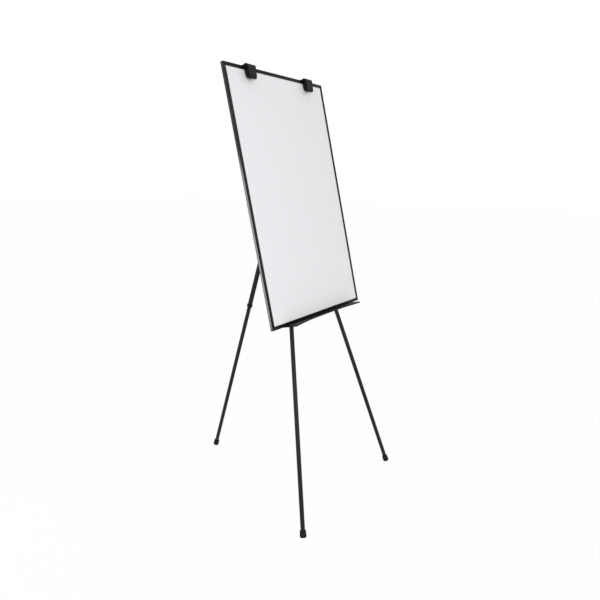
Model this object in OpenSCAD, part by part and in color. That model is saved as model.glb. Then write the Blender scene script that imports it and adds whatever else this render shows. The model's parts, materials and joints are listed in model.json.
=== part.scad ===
// Floor-standing tripod easel with a framed magnetic whiteboard.
// Millimetres. +X is the viewer's right, +Y points back, +Z up; the floor is z = 0.
// The origin lies on the floor, midway between the front and rear feet.

/* [Board] */
// Width of the framed board
board_w = 600; // [500:10:900]
// Height of the framed board along its slope
board_h = 900; // [750:10:1200]
// Width of the frame seen from the front
frame_lip = 13; // [11:0.5:20]
// Thickness of the frame's front lip over the writing sheet
front_lip_t = 1.5; // [1:0.1:2.5]
// Thickness of the frame's rear lip
rear_lip_t = 1.2; // [1:0.1:2.5]
// Wall of the frame's hollow chamber
frame_wall = 1.2; // [0.8:0.1:2]
// Radius of the frame's front outer edge
frame_round = 3; // [1:0.5:4]
// Depth that the board sits in the frame's slot
slot_depth = 6; // [4:0.5:8]
// Thickness of the enamelled steel writing sheet
sheet_t = 0.4; // [0.3:0.1:1]
// Thickness of the board's core
core_t = 6.5; // [4:0.5:9]
// Thickness of the galvanised back sheet
back_t = 0.4; // [0.3:0.1:1]
// Length of each arm of a corner key
key_arm = 32; // [20:1:50]
// Play around a corner key in the frame's chamber
key_gap = 0.1; // [0.05:0.05:0.3]
// Play between the board's edge and the bottom of the slot
slot_gap = 0.5; // [0.2:0.1:1]

/* [Tray] */
// Length of the pen tray
tray_w = 460; // [300:10:480]
// Reach of the tray in front of the sheet at its middle
tray_mid = 23; // [18:1:35]
// Reach of the tray in front of the sheet at its ends
tray_end = 52; // [40:1:70]
// Thickness of the tray's floor
tray_t = 2; // [1.5:0.5:4]
// Height of the raised rim above the tray's floor
tray_rim = 3; // [1:0.5:8]
// Thickness of the raised rim
tray_rim_t = 2; // [1.5:0.5:4]
// Radius of the tray's front corners
tray_corner = 8; // [4:1:14]
// Height of the tray's fixing flange behind the bottom rail
flange_h = 11; // [9:0.5:16]
// Distance between the tray's fixing screws
tray_screw_gap = 180; // [100:10:200]

/* [Stance] */
// Slope of the board, back from vertical, in degrees
board_lean = 13.4; // [11:0.1:15]
// Slope of the plane of the two front legs, in degrees
leg_lean = 14.5; // [13.6:0.1:15.5]
// Height of the board's lower edge above the floor
bottom_edge_h = 712; // [600:1:800]
// Angle between a front leg and the board's centre line
front_spread = 13.4; // [10:0.1:18]
// Slope of the rear leg from vertical, in degrees
rear_slope = 16.8; // [12:0.1:22]

/* [Tripod head] */
// Height of the front leg bolts above the board's lower edge
pivot_v = 564; // [500:1:620]
// Distance of the front legs' plane behind the sheet, at their bolts
head_back = 38; // [34:0.5:46]
// Distance between the two front leg bolts
pivot_gap = 40; // [38:1:60]
// Distance of the rear leg's bolt behind the front legs' plane
rear_back = 24; // [24:0.5:30]
// Drop of the rear leg's bolt below the front bolts
rear_drop = 19; // [16:0.5:24]
// Thickness of the steel mounting plate
plate_t = 2; // [1.5:0.5:4]
// Width of the mounting plate
plate_w = 136; // [128:2:180]
// Height of the mounting plate
plate_h = 100; // [92:2:140]
// Radius of the mounting plate's corners
plate_corner = 8; // [4:1:14]
// Wall of the moulded head
head_wall = 4; // [3:0.5:6]
// Thickness of the head's flange on the plate
flange_t = 4; // [3:0.5:6]
// Radius of the head's outer corners
head_corner = 7; // [5:0.5:10]
// Thickness of the head's rear cheek and of the rear leg's ears
cheek_t = 5; // [4:0.5:7]
// Radius of the leg bolts
bolt_r = 3; // [2.5:0.25:4]

/* [Legs] */
// Outer diameter of the upper tubes
upper_d = 19; // [18.5:0.5:22]
// Outer diameter of the lower tubes
lower_d = 16; // [13:0.5:16]
// Wall of the tubes
tube_wall = 1; // [0.8:0.1:1.4]
// Distance from a leg's bolt to the end of its upper tube
upper_end = 559; // [480:1:600]
// Least length of a lower tube inside its upper tube
overlap = 72; // [50:1:120]
// Thickness of the flat eye at the top of each leg
lug_t = 9.6; // [8:0.2:12]
// Radius of the eye
lug_r = 10; // [8:0.5:10]
// Distance from the bolt to the top of the upper tube
lug_neck = 26; // [24:1:34]
// Length of the eye's plug inside the upper tube
plug_l = 30; // [20:1:45]
// Outer diameter of the collar at the end of the upper tube
collar_d = 23; // [22:0.5:26]
// Length of the collar over the upper tube
collar_l = 9; // [7:0.5:14]
// Thickness of the collar's end wall
collar_end = 2.5; // [1.5:0.5:4]
// Greatest diameter of a rubber foot
foot_d = 24; // [21:0.5:32]
// Diameter of a rubber foot at its top
foot_top_d = 20.4; // [19:0.2:24]
// Length of a rubber foot
foot_l = 24; // [20:1:36]
// Radius of the foot's lower edge
foot_round = 4.5; // [3:0.5:6]
// Radius of the bead round the foot's top
foot_bead = 1.2; // [0.8:0.1:1.6]
// Thickness of rubber below the tube
foot_floor = 7.5; // [6:0.5:9]
// Depth of the flat that the foot wears where it stands
foot_flat = 0.6; // [0.3:0.1:1]
// Length of the expander sleeve of the twist lock
expander_l = 18; // [12:1:26]

/* [Leg keepers] */
// Distance from a front leg's bolt to the middle of its keeper
keeper_s = 528; // [450:1:535]
// Length of a keeper along the leg
keeper_l = 16; // [12:1:24]
// Thickness of the keeper's base on the board
keeper_base_t = 2.5; // [2:0.25:4]
// Length of the keeper's ear on each side, with one screw
keeper_ear = 9; // [8:0.5:14]
// Wall of the keeper's hook
keeper_wall = 2.6; // [2:0.2:4]
// Play between a leg and its keeper
keeper_gap = 0.5; // [0.4:0.1:1]

/* [Pad clips] */
// Distance between the two clips
clip_gap = 352; // [200:2:380]
// Width of a clip
clip_w = 38; // [32:1:50]
// Thickness of the clip's top over the frame
clip_top = 3.8; // [3:0.2:5]
// Wall of the clip's saddle in front of and behind the frame
saddle_wall = 2.5; // [2:0.25:3]
// Play between the clip and the frame
clip_gap_r = 0.2; // [0.15:0.05:0.3]
// Reach of the clip in front of the sheet
jaw_front = 23; // [22:0.5:26]
// Radius of the jaw's rounded top, centred on its hinge pin
jaw_top_r = 10.5; // [9.5:0.25:11]
// Wall of the jaw
jaw_wall = 2.6; // [2:0.2:3]
// Length of the jaw below the frame's top
jaw_l = 48; // [44:1:60]
// Gap between the jaw's sides and the sheet
jaw_gap = 6; // [5:0.5:7]
// Radius of the jaw's lower rear edge
jaw_round = 15; // [10:1:16]
// Radius of the hinge pin
clip_pin_r = 1.5; // [1.25:0.25:2]
// Width of the rubber pad
pad_w = 24; // [16:1:28]
// Height of the rubber pad
pad_h = 9; // [6:1:10]
// Depth of the pad's seat in the jaw
pad_deep = 3; // [2:0.5:4]
// Distance from the jaw's lower edge to the middle of the pad
pad_up = 13.5; // [12:0.5:16]
// Diameter of the spring wire
spring_wire = 0.9; // [0.6:0.1:1.2]
// Turns of the spring
spring_turns = 6.5; // [4.5:1:8.5]

/* [Fits] */
// Play on each side of a leg's eye in the head
eye_gap = 0.3; // [0.2:0.05:0.5]
// Radial running clearance of bolts, pins and telescoping tubes
run_gap = 0.06; // [0.03:0.01:0.09]

/* [Hidden] */
$fn = 48;

black_satin = [0.12, 0.12, 0.13];
black_moulded = [0.10, 0.10, 0.11];
black_rubber = [0.15, 0.15, 0.16];
white_enamel = [0.90, 0.905, 0.915];
steel = [0.62, 0.63, 0.65];
zinc = [0.70, 0.71, 0.73];
nylon = [0.85, 0.85, 0.82];

// Board: the slot takes sheet, core and back together
slot_t = sheet_t + core_t + back_t;
frame_t = front_lip_t + slot_t + rear_lip_t;
frame_back = slot_t + rear_lip_t;
slot_bottom = frame_lip - slot_depth;
board_edge = slot_bottom + slot_gap;
chamber_w = slot_bottom - 2 * frame_wall;

// Tray's concave front edge is an arc through its middle and its ends
tray_sag = tray_end - tray_mid;
tray_arc_r = (pow(tray_w / 2, 2) + pow(tray_sag, 2)) / (2 * tray_sag);

// Screws: shank radius, head radius, head height
wood_screw = [2, 4, 2.2];
small_screw = [1.5, 2.9, 1.7];
screw_into = 5;
head_room = 0.5;
plate_screw_inset = plate_corner + 1;

// Tripod head, in the front legs' plane
pivot_x = pivot_gap / 2;
tilt = leg_lean - board_lean;
slot_half = lug_t / 2 + eye_gap;
cheek_low = 16;
cheek_high = 22;
bridge_h = 6;
stop_t = 4;
head_half = pivot_x + lug_r + 10;
flange_half_w = plate_w / 2 - 2 * plate_screw_inset + 3;
flange_half_h = plate_h / 2 - 2 * plate_screw_inset;
head_screw_x = (head_half + flange_half_w) / 2;
head_screw_z = flange_half_h - head_corner;
ear_r = lug_r + 0.5;
rear_turn = rear_slope + leg_lean;
bolt_head_r = 5;
bolt_head_h = 3.5;
nut_r = 5.6;
nut_h = 5;
washer_r = 6.2;
washer_t = 1;
bolt_out = 1.5;

// Leg lengths: the rubber ring under each tube touches the floor, less the worn flat
foot_ring_r = foot_d / 2 - foot_round;
front_tilt = acos(cos(front_spread) * cos(leg_lean));
function ring_height(a) = foot_ring_r * sin(a) + foot_round - foot_flat;
function foot_reach(dy) = foot_ring_r * sqrt(1 - dy * dy) + foot_round;
head_z = bottom_edge_h + pivot_v * cos(board_lean) - head_back * sin(board_lean);
rear_z = head_z - rear_back * sin(leg_lean) - rear_drop * cos(leg_lean);
front_ring_s = (head_z - ring_height(front_tilt)) / cos(front_tilt);
rear_ring_s = (rear_z - ring_height(rear_slope)) / cos(rear_slope);

// Place of the board's lower edge, so that the feet lie centred on the origin
head_dy = pivot_v * sin(board_lean) + head_back * cos(board_lean);
rear_dy = head_dy + rear_back * cos(leg_lean) - rear_drop * sin(leg_lean);
front_step = cos(front_spread) * sin(leg_lean);
front_tip_dy = head_dy - front_ring_s * front_step - foot_reach(front_step);
rear_tip_dy = rear_dy + rear_ring_s * sin(rear_slope) + foot_reach(sin(rear_slope));
board_y = -(front_tip_dy + rear_tip_dy) / 2;

// Legs, measured down from each bolt
upper_r = upper_d / 2;
upper_bore = upper_r - tube_wall;
lower_r = lower_d / 2;
lower_bore = lower_r - tube_wall;
foot_up = foot_l - foot_round;
tube_seat = foot_floor - foot_round;
lower_len = max(front_ring_s, rear_ring_s) - tube_seat - (upper_end - overlap);
stud_r = 3;
stud_cap_t = 2;
stud_flange_t = 2;
stud_plug = 16;
stud_play = 0.6;
split_w = 1.6;

// Clips
clip_x = clip_gap / 2;
clip_pin_n = jaw_front - jaw_top_r;
clip_pin_v = jaw_top_r - clip_top - 0.2;
knuckle_r = jaw_top_r - jaw_wall - 0.4;
knuckle_half = clip_w / 2 - jaw_wall - 0.3;
skirt_front = front_lip_t + clip_gap_r;
skirt_low = frame_lip + 2;
jaw_slot = 15;
top_step = 3;
pad_gap = 0.3;
pad_low = -jaw_l + pad_up - pad_h / 2;
jaw_seat = pad_up + pad_h / 2 + 3.5;

// Spring: its arms end on the saddle's skirt and inside the jaw's front
spring_pitch = spring_wire + 0.25;
spring_half = spring_turns * spring_pitch / 2 + spring_wire / 2 + 0.2;
spring_coil_r = clip_pin_r + 0.5 + spring_wire / 2;
spring_ring = 6;
spring_steps = 18;
arm_gap = spring_wire / 2 + 0.1;
rear_arm = [clip_pin_n - skirt_front - saddle_wall - arm_gap, -7];
front_arm = [-(jaw_top_r - jaw_wall - arm_gap), -12];

// Leg keepers, in the board's plane
keeper_r = upper_r + keeper_gap;
keeper_span = keeper_r + keeper_wall;
keeper_x = pivot_x + keeper_s * sin(front_spread);
keeper_v = pivot_v - keeper_s * cos(front_spread) * cos(tilt);

// Frames of reference
module board_frame() translate([0, board_y, bottom_edge_h]) rotate([-board_lean, 0, 0]) children();
module head_frame() board_frame() translate([0, head_back, pivot_v]) rotate([-tilt, 0, 0]) children();
module front_leg_frame(side) head_frame() translate([side * pivot_x, 0, 0])
    rotate([0, -side * front_spread, 0]) children();
module rear_leg_frame() head_frame() translate([0, rear_back, -rear_drop])
    rotate([rear_turn, 0, 0]) children();

// Everything in front of a plane behind the board, used to cut what stands on it
module in_front_of(back_plane) board_frame()
    translate([-board_w, back_plane - board_w, -board_h]) cube([2 * board_w, board_w, 3 * board_h]);

// Rod along +Y
module rod_y(r, from, to) translate([0, from, 0]) rotate([-90, 0, 0]) cylinder(r = r, h = to - from);

// Rectangle with round corners, centred
module rounded(w, h, r) {
    square([w - 2 * r, h], center = true);
    square([w, h - 2 * r], center = true);
    for (sx = [-1, 1], sy = [-1, 1]) translate([sx * (w / 2 - r), sy * (h / 2 - r)]) circle(r = r);
}

// Flat piece that stands in the X-Z plane between two places along Y
module slab_y(from, to) translate([0, to, 0]) rotate([90, 0, 0]) linear_extrude(to - from) children();

// Screw lying along -Y into the board, its head's seat at y = 0
module screw(size, into) {
    rod_y(size[0], -into, 0);
    difference() {
        rod_y(size[1], 0, size[2]);
        for (a = [0, 90]) translate([0, size[2], 0]) rotate([0, a, 0])
            cube([size[1] * 1.1, size[2], size[1] * 0.26], center = true);
    }
}

// Frame

// Section of the frame: x runs in from the outer edge, y runs back from the sheet's face
module rail_profile() difference() {
    union() {
        translate([frame_round, -front_lip_t]) square([frame_lip - frame_round, frame_t]);
        translate([0, frame_round - front_lip_t]) square([frame_lip, frame_t - frame_round]);
        translate([frame_round, frame_round - front_lip_t]) circle(r = frame_round);
    }
    translate([frame_wall, 0]) square([chamber_w, slot_t]);
    translate([slot_bottom, 0]) square([slot_depth + 1, slot_t]);
}

// Rail along +X with its outer edge down, mitred at both ends
module rail(length) intersection() {
    translate([-length / 2, 0, 0]) rotate([90, 0, 90]) linear_extrude(length)
        mirror([1, 0]) rotate(90) rail_profile();
    rotate([90, 0, 0]) translate([0, 0, -frame_back - 1]) linear_extrude(frame_t + 2)
        polygon([[-length / 2, 0], [length / 2, 0],
                 [length / 2 - frame_lip, frame_lip], [-length / 2 + frame_lip, frame_lip]]);
}

module tray_screw_places() for (i = [-1:1])
    translate([i * tray_screw_gap, frame_back + tray_t, frame_wall + chamber_w / 2]) children();

module frame_rail_bottom() color(black_satin) board_frame() difference() {
    rail(board_w);
    tray_screw_places() rod_y(small_screw[0], -tray_t - rear_lip_t - 1, 1);
}
module frame_rail_top() color(black_satin) board_frame() translate([0, 0, board_h])
    mirror([0, 0, 1]) rail(board_w);
module frame_rail_side(side) color(black_satin) board_frame()
    translate([side * board_w / 2, 0, board_h / 2]) rotate([0, side * -90, 0]) rail(board_h);

// Angle pieces inside the hollow corners
module corner_keys() color(nylon) board_frame() {
    low = frame_wall + key_gap;
    arm_w = chamber_w - 2 * key_gap;
    for (sx = [-1, 1], top = [0, 1])
        translate([sx * board_w / 2, 0, top * board_h]) mirror([sx > 0 ? 1 : 0, 0, 0]) mirror([0, 0, top])
            translate([low, key_gap, low]) {
                cube([key_arm, slot_t - 2 * key_gap, arm_w]);
                cube([arm_w, slot_t - 2 * key_gap, key_arm]);
            }
}

// Board

module board_layer(from, thick) translate([-board_w / 2 + board_edge, from, board_edge])
    cube([board_w - 2 * board_edge, thick, board_h - 2 * board_edge]);

module writing_sheet() color(white_enamel) board_frame() board_layer(0, sheet_t);
module board_core() color(nylon) difference() {
    board_frame() board_layer(sheet_t, core_t);
    back_holes();
}
module back_sheet() color(zinc) difference() {
    board_frame() board_layer(sheet_t + core_t, back_t);
    back_holes();
}

// Holes of every screw that goes into the board's back
module back_holes() board_frame() {
    plate_screw_places() rod_y(wood_screw[0], -screw_into - plate_t, 1);
    head_screw_places() rod_y(wood_screw[0], -screw_into - plate_t - flange_t, 1);
    for (side = [-1, 1]) keeper_screw_places(side) rod_y(small_screw[0], -screw_into - keeper_base_t, 1);
}

// Tray

// Outline drawn in from its edge by the inset, with round front corners
module tray_outline(inset) {
    corner_x = tray_w / 2 - tray_corner;
    rise = sqrt(pow(tray_arc_r + tray_corner, 2) - pow(corner_x, 2));
    corner = [corner_x, -tray_mid - tray_arc_r + rise];
    towards = [-corner_x, -rise] / norm([corner_x, rise]);
    r = tray_corner - inset;
    difference() {
        translate([-tray_w / 2 + inset, -tray_end])
            square([tray_w - 2 * inset, tray_end + frame_back + tray_t]);
        translate([0, -tray_mid - tray_arc_r]) circle(r = tray_arc_r + inset, $fn = 360);
        for (side = [0, 1]) mirror([side, 0]) translate(corner) difference() {
            polygon([[0, 0], towards * r, [r, -2 * tray_corner], [r + 1, -2 * tray_corner], [r + 1, 0]]);
            circle(r = r);
        }
    }
}

module pen_tray() color(black_moulded) board_frame() difference() {
    union() {
        translate([0, 0, -tray_t]) linear_extrude(tray_t) tray_outline(0);
        linear_extrude(tray_rim) difference() {
            tray_outline(0);
            tray_outline(tray_rim_t);
            translate([-board_w, -front_lip_t - 2 * tray_rim_t]) square([2 * board_w, board_w]);
        }
        translate([-tray_w / 2, frame_back, 0]) cube([tray_w, tray_t, flange_h]);
    }
    tray_screw_places() rod_y(small_screw[0], -tray_t - 1, 1);
}
module tray_screws() color(zinc) board_frame() tray_screw_places() screw(small_screw, tray_t + rear_lip_t);

// Mounting plate and tripod head

module plate_screw_places() for (sx = [-1, 1], sz = [-1, 1])
    translate([sx * (plate_w / 2 - plate_screw_inset), slot_t + plate_t,
               pivot_v + sz * (plate_h / 2 - plate_screw_inset)]) children();
module head_screw_places() for (sx = [-1, 1], sz = [-1, 1])
    translate([sx * head_screw_x, slot_t + plate_t + flange_t, pivot_v + sz * head_screw_z]) children();

module mounting_plate() color(steel) board_frame() difference() {
    translate([0, 0, pivot_v]) slab_y(slot_t, slot_t + plate_t) rounded(plate_w, plate_h, plate_corner);
    plate_screw_places() rod_y(wood_screw[0], -plate_t - 1, 1);
    head_screw_places() rod_y(wood_screw[0], -plate_t - flange_t - 1, 1);
}
module plate_screws() color(zinc) board_frame()
    plate_screw_places() screw(wood_screw, screw_into + plate_t);
module head_screws() color(zinc) board_frame()
    head_screw_places() screw(wood_screw, screw_into + plate_t + flange_t);

// Side profile of an ear: x runs back from the front legs' plane, y up
module ear_profile() {
    face = slot_half + cheek_t - 0.5;
    translate([rear_back, -rear_drop]) circle(r = ear_r);
    polygon([[face, cheek_low - 2], [face + 5, cheek_low - 2], [rear_back + lug_r - 1, -rear_drop + 5],
             [rear_back, -rear_drop], [rear_back, -rear_drop - ear_r], [face, -rear_drop - ear_r]]);
    translate([rear_back, -rear_drop]) rotate(rear_turn)
        translate([-2, -2 * lug_r]) square([lug_r + eye_gap + stop_t + 2, 2 * lug_r]);
}

// Front view of the head's block and rear cheek, lowered by a wall where it is hollow
module head_outline(wall) translate([0, (cheek_high - cheek_low) / 2])
    rounded(2 * (head_half - wall), cheek_low + cheek_high - 2 * wall, head_corner - wall / 2);

module tripod_head() color(black_moulded) difference() {
    union() {
        // Flange on the mounting plate
        board_frame() translate([0, 0, pivot_v]) slab_y(slot_t + plate_t, slot_t + plate_t + flange_t)
            rounded(2 * flange_half_w, 2 * flange_half_h, head_corner);
        // Block that carries the legs clear of the board, rear cheek, bridge over the eyes, middle web
        head_frame() {
            slab_y(-head_back, -slot_half) head_outline(0);
            slab_y(slot_half, slot_half + cheek_t) head_outline(0);
            slab_y(-slot_half - 1, slot_half + 1) intersection() {
                head_outline(0);
                translate([-head_half, cheek_high - bridge_h]) square([2 * head_half, bridge_h]);
            }
            web = pivot_x - lug_r - eye_gap;
            slab_y(-slot_half - 1, slot_half + 1)
                translate([-web, -cheek_low]) square([2 * web, cheek_low + cheek_high - 1]);
        }
        // Outer stops that the opened front legs lean on
        for (side = [-1, 1]) front_leg_frame(side)
            translate([side * (lug_r + eye_gap + stop_t / 2), 0, -cheek_low / 2 - 2])
                cube([stop_t, 2 * slot_half + 2, cheek_low - 8], center = true);
        // Ears and stops of the rear leg
        head_frame() {
            for (side = [-1, 1]) translate([side * (slot_half + cheek_t / 2), 0, 0])
                rotate([90, 0, 90]) linear_extrude(cheek_t, center = true) ear_profile();
            closed_stop = rear_back - lug_r - eye_gap;
            translate([-slot_half - 1, slot_half + cheek_t - 1, -rear_drop - lug_r])
                cube([2 * slot_half + 2, closed_stop - slot_half - cheek_t + 1, rear_drop + 4]);
        }
        rear_leg_frame() translate([-slot_half - 1, lug_r + eye_gap, -2 * lug_r])
            cube([2 * slot_half + 2, stop_t, lug_r * 1.4]);
    }
    // Hollow from the board's side, with a rib in the middle
    head_frame() slab_y(-2 * head_back, -slot_half - head_wall) difference() {
        head_outline(head_wall);
        square([head_wall, 4 * cheek_high], center = true);
    }
    in_front_of(slot_t + plate_t);
    board_frame() head_screw_places() {
        rod_y(wood_screw[0], -flange_t - 1, 1);
        rod_y(wood_screw[1] + head_room, 0, 2 * head_back);
    }
    for (side = [-1, 1]) head_frame() translate([side * pivot_x, 0, 0])
        rod_y(bolt_r, -head_back, head_back);
    rear_leg_frame() rotate([0, 0, 90]) rod_y(bolt_r, -head_half, head_half);
}

// Bolt along Y through the head, with a round head at one end
module pivot_bolt(from, to) {
    rod_y(bolt_r, from, to + washer_t + nut_h + bolt_out);
    rod_y(bolt_head_r, from - bolt_head_h, from);
}
module hex_nut() {
    difference() {
        rod_y(washer_r, 0, washer_t);
        rod_y(bolt_r, -1, washer_t + 1);
    }
    difference() {
        translate([0, washer_t, 0]) rotate([-90, 0, 0]) cylinder(r = nut_r, h = nut_h, $fn = 6);
        rod_y(bolt_r, -1, nut_h + washer_t + 1);
    }
}
module front_pivot_bolts() color(zinc) for (side = [-1, 1]) head_frame()
    translate([side * pivot_x, 0, 0]) pivot_bolt(-slot_half - head_wall, slot_half + cheek_t);
module front_pivot_nuts() color(zinc) for (side = [-1, 1]) head_frame()
    translate([side * pivot_x, slot_half + cheek_t, 0]) hex_nut();
module rear_pivot_bolt() color(zinc) head_frame() translate([0, rear_back, -rear_drop])
    rotate([0, 0, -90]) pivot_bolt(-slot_half - cheek_t, slot_half + cheek_t);
module rear_pivot_nut() color(zinc) head_frame() translate([slot_half + cheek_t, rear_back, -rear_drop])
    rotate([0, 0, -90]) hex_nut();

// Leg keepers

module keeper_screw_places(side) for (end = [-1, 1])
    translate([side * keeper_x, slot_t + keeper_base_t, keeper_v]) rotate([0, -side * front_spread, 0])
        translate([end * (keeper_span + keeper_ear / 2), 0, 0]) children();

module leg_keeper(side) color(black_moulded) difference() {
    union() {
        // Pillar under the leg, and the lip outside it that stops the spread leg
        front_leg_frame(side) translate([0, 0, -keeper_s]) mirror([side < 0 ? 1 : 0, 0, 0])
            linear_extrude(keeper_l - 2, center = true) polygon([
                [-keeper_span, -head_back], [keeper_span, -head_back],
                [keeper_span, 0], [keeper_r + keeper_wall * 0.7, keeper_wall / 2],
                [keeper_r + keeper_wall * 0.3, keeper_wall / 2], [keeper_r, 0],
                [keeper_r, -keeper_r], [-keeper_span, -keeper_r]]);
        board_frame() translate([side * keeper_x, 0, keeper_v]) rotate([0, -side * front_spread, 0])
            slab_y(slot_t - 1, slot_t + keeper_base_t)
                rounded(2 * (keeper_span + keeper_ear), keeper_l, keeper_l / 4);
    }
    // Hollow from the board's side
    front_leg_frame(side) translate([0, 0, -keeper_s])
        linear_extrude(keeper_l - 2 - 2 * keeper_wall, center = true)
            translate([keeper_wall - keeper_span, -2 * head_back])
                square([2 * (keeper_span - keeper_wall), 2 * head_back - keeper_r - keeper_wall]);
    in_front_of(slot_t);
    board_frame() keeper_screw_places(side) rod_y(small_screw[0], -keeper_base_t - 1, 1);
}
module keeper_screws() color(zinc) board_frame() for (side = [-1, 1])
    keeper_screw_places(side) screw(small_screw, screw_into + keeper_base_t);

// Leg pieces, each in its own leg's frame with the bolt at the origin and the leg along -Z

// Flat eye with a plug for the tube; its bolt runs along Y
module leg_eye() color(black_moulded) difference() {
    union() {
        rod_y(lug_r, -lug_t / 2, lug_t / 2);
        translate([-lug_r, -lug_t / 2, -lug_neck + 3]) cube([2 * lug_r, lug_t, lug_neck - 3]);
        translate([0, 0, -lug_neck]) cylinder(r = upper_r, h = 3);
        translate([0, 0, -lug_neck - plug_l]) cylinder(r = upper_bore, h = plug_l);
    }
    rod_y(bolt_r + run_gap, -lug_t, lug_t);
}
module tube(outer, inner, from, to) translate([0, 0, -to]) difference() {
    cylinder(r = outer, h = to - from, $fn = 64);
    translate([0, 0, -1]) cylinder(r = inner, h = to - from + 2, $fn = 64);
}
module upper_tube() color(black_satin) tube(upper_r, upper_bore, lug_neck, upper_end);
module collar() color(black_moulded) rotate_extrude() difference() {
    union() {
        translate([0, -upper_end - collar_end + 1]) square([collar_d / 2, collar_l + collar_end - 2]);
        translate([0, -upper_end - collar_end]) square([collar_d / 2 - 1, collar_l + collar_end]);
        for (z = [-upper_end - collar_end + 1, -upper_end + collar_l - 1])
            translate([collar_d / 2 - 1, z]) circle(r = 1);
    }
    translate([-1, -upper_end]) square([upper_r + 1, collar_l + 1]);
    translate([-1, -upper_end - collar_end - 1]) square([lower_r + run_gap + 1, collar_end + 2]);
}
function lower_end(ring_s) = ring_s - tube_seat;
function lower_top(ring_s) = lower_end(ring_s) - lower_len;

// Twist lock: threaded stud in the lower tube, and the split sleeve that it spreads
module lock_stud(ring_s) color(steel) translate([0, 0, -lower_top(ring_s)]) {
    cap_z = stud_flange_t + expander_l + stud_play;
    translate([0, 0, -stud_plug]) cylinder(r = lower_bore, h = stud_plug);
    cylinder(r = lower_r - 0.3, h = stud_flange_t);
    cylinder(r = stud_r, h = cap_z);
    translate([0, 0, cap_z]) cylinder(r = stud_r + 2, h = stud_cap_t);
}
module lock_expander(ring_s) color(nylon)
    translate([0, 0, -lower_top(ring_s) + stud_flange_t + stud_play / 2]) difference() {
        cylinder(r = upper_bore - run_gap, h = expander_l);
        translate([0, 0, -1]) cylinder(r = stud_r + run_gap, h = expander_l + 2);
        translate([0, -split_w / 2, -1]) cube([2 * upper_r, split_w, expander_l + 2]);
        for (a = [90, 270]) rotate(a) translate([upper_bore - 1.2, -1, -1]) cube([3, 2, expander_l + 2]);
    }
module lower_tube(ring_s) color(black_satin)
    tube(lower_r, lower_bore, lower_top(ring_s), lower_end(ring_s));

// Rubber foot with a rolled top rim; the worn flat is cut by the floor
function arc(x, y, r, from, to, n) = [for (i = [0:n]) let (a = from + (to - from) * i / n)
    [x + r * cos(a), y + r * sin(a)]];
module foot(ring_s) color(black_rubber) translate([0, 0, -ring_s]) rotate_extrude($fn = 64)
    polygon(concat([[0, tube_seat], [lower_r, tube_seat], [lower_r, foot_up]],
        arc(foot_top_d / 2, foot_up - foot_bead, foot_bead, 90, -70, 8),
        [[foot_d / 2, foot_d / 8]], arc(foot_ring_r, 0, foot_round, 0, -90, 10), [[0, -foot_round]]));
module floor_cut() translate([-board_w, -board_h, -foot_l]) cube([2 * board_w, 2 * board_h, foot_l]);

module front_foot(side) difference() {
    front_leg_frame(side) foot(front_ring_s);
    floor_cut();
}
module rear_foot() difference() {
    rear_leg_frame() foot(rear_ring_s);
    floor_cut();
}

// Pad clips, each in a frame on the middle of the top rail's upper edge

module clip_frame(side) board_frame() translate([side * clip_x, 0, board_h]) children();

// Side profile along X: x of the profile runs back, y runs up
module along_x(width) rotate([90, 0, 90]) translate([0, 0, -width / 2]) linear_extrude(width) children();

module clip_saddle() color(black_moulded) {
    rear = frame_back + clip_gap_r;
    difference() {
        union() {
            // Top, rear lip and front skirt around the rail
            along_x(clip_w) {
                translate([-0.4, clip_gap_r]) square([rear + saddle_wall + 0.4, clip_top - clip_gap_r]);
                translate([rear, -skirt_low]) square([saddle_wall, skirt_low + clip_top]);
            }
            along_x(2 * knuckle_half) {
                translate([-clip_pin_n + top_step, clip_gap_r]) square([clip_pin_n, clip_top - clip_gap_r]);
                translate([-skirt_front - saddle_wall, -skirt_low])
                    square([saddle_wall, skirt_low + clip_top]);
            }
            // Knuckles on the pin
            for (side = [-1, 1]) translate([side * (knuckle_half + spring_half) / 2, 0, 0])
                along_x(knuckle_half - spring_half) {
                    translate([-clip_pin_n, -clip_pin_v]) circle(r = knuckle_r);
                    translate([-clip_pin_n, -clip_pin_v - knuckle_r])
                        square([clip_pin_n - skirt_front, 2 * knuckle_r]);
                }
        }
        translate([0, -clip_pin_n, -clip_pin_v]) rotate([0, 0, 90]) rod_y(clip_pin_r, -clip_w, clip_w);
    }
}
module clip_pin() color(zinc) translate([0, -clip_pin_n, -clip_pin_v])
    rotate([0, 0, 90]) rod_y(clip_pin_r, -clip_w / 2 + 0.3, clip_w / 2 - 0.3);

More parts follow.
